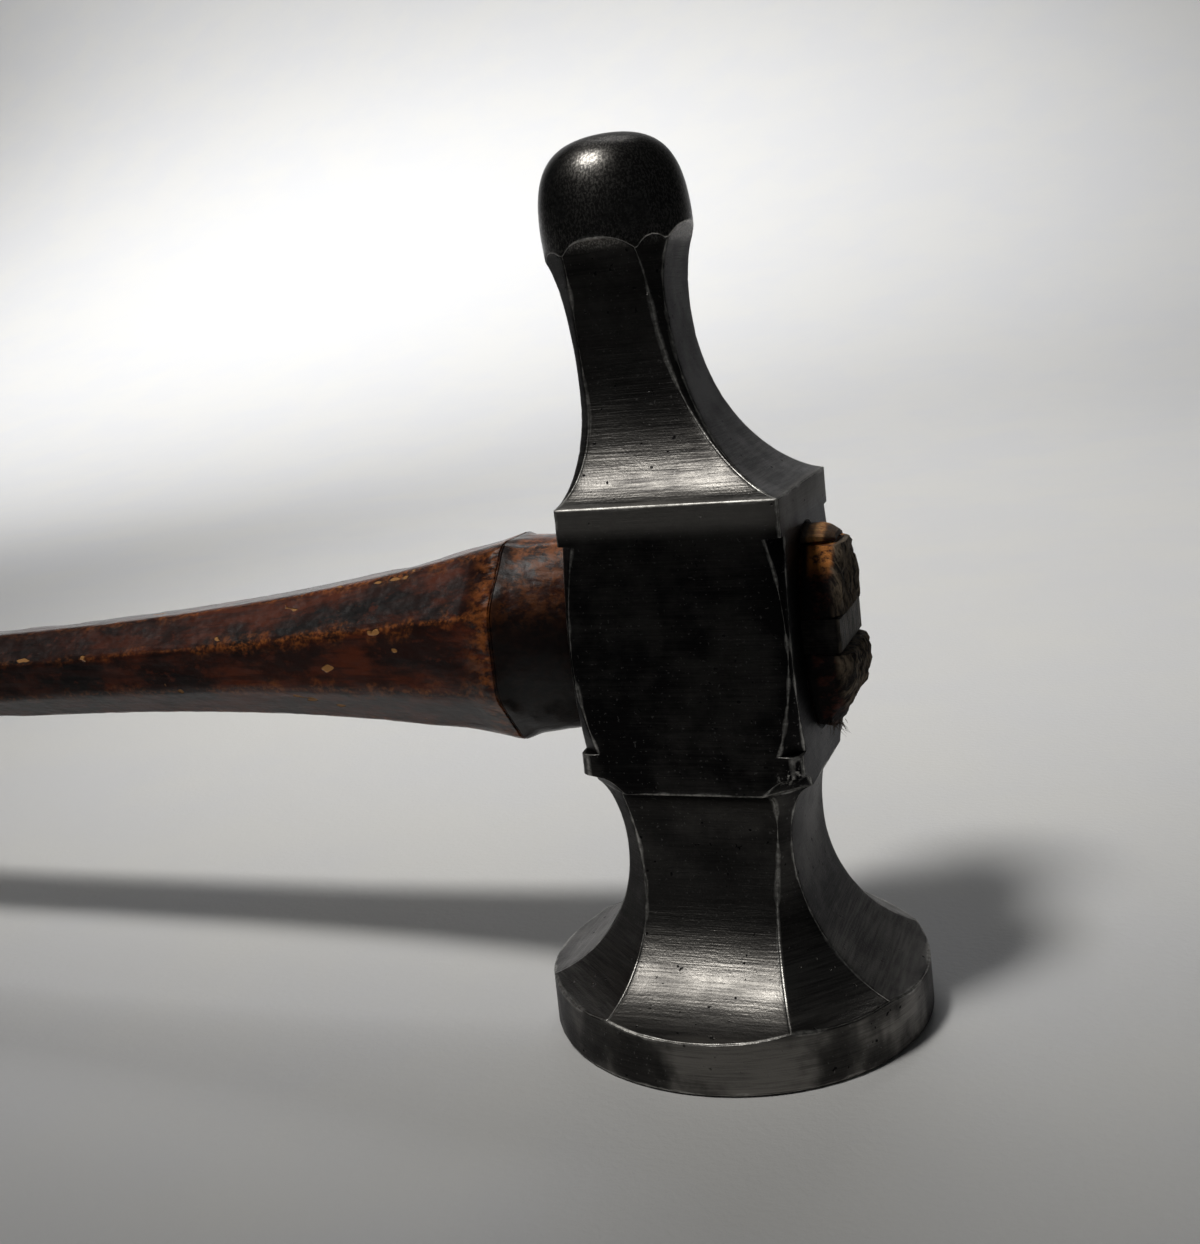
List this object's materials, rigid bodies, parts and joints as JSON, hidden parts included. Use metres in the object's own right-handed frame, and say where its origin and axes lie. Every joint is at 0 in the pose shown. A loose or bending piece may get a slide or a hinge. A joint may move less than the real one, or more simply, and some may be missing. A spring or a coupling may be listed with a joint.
{
  "type": "chasing hammer",
  "caption": "Jeweller's chasing hammer: broad round striking face, faceted neck, ball peen, octagonal wooden handle wedged through a square eye block.",
  "frame": {"origin": "centre of the round striking face, on the surface that the hammer stands on", "axes": "+Z from the striking face up to the ball peen, the handle runs along -X, +Y completes a right-handed frame"},
  "size_m": [0.2511, 0.032, 0.0746],
  "materials": {
    "head_steel": "dark patinated forged steel, filed facets, bright worn edges, polished ball",
    "handle_wood": "old dark varnish over hardwood, worn to orange wood along the arrises",
    "wedge_steel": "dark smooth steel",
    "shim_wood": "raw light hardwood"
  },
  "bodies": {
    "root": {"hammer_head": "head_steel", "handle": "handle_wood", "steel_wedge": "wedge_steel", "eye_shim": "shim_wood"}
  },
  "joints": []
}
